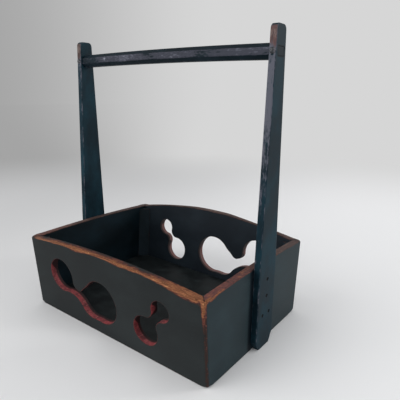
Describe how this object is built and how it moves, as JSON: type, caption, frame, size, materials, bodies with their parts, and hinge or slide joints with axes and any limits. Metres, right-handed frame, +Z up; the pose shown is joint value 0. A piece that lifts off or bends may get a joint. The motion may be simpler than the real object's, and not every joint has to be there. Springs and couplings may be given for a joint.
{
  "type": "tool storage caddy",
  "caption": "Open wooden carrying tray with splayed long walls, gourd cut-outs and a tall fixed bar handle between two uprights.",
  "frame": {"origin": "middle of the footprint, on the surface that the tray stands on", "axes": "+X along the long boards to the right, +Y from the front board to the back board, +Z up towards the handle bar"},
  "size_m": [0.2952, 0.2108, 0.341],
  "materials": {
    "lacquered_board": "old black lacquer, satin, rubbed through to brown wood along the rims",
    "lacquered_handle": "old black lacquer, satin, worn brown where it is held",
    "lacquered_peg": "black lacquer over a round head, slightly glossy",
    "iron_nail": "hand-forged iron, dark and rusted"
  },
  "bodies": {
    "root": {"front_panel": "lacquered_board", "back_panel": "lacquered_board", "left_end_panel": "lacquered_board", "right_end_panel": "lacquered_board", "base_board": "lacquered_board", "front_left_post": "lacquered_board", "front_right_post": "lacquered_board", "back_left_post": "lacquered_board", "back_right_post": "lacquered_board", "left_upright": "lacquered_handle", "right_upright": "lacquered_handle", "handle_bar": "lacquered_handle", "left_bar_peg": "lacquered_peg", "right_bar_peg": "lacquered_peg", "left_upright_nails": "iron_nail", "right_upright_nails": "iron_nail"}
  },
  "joints": []
}
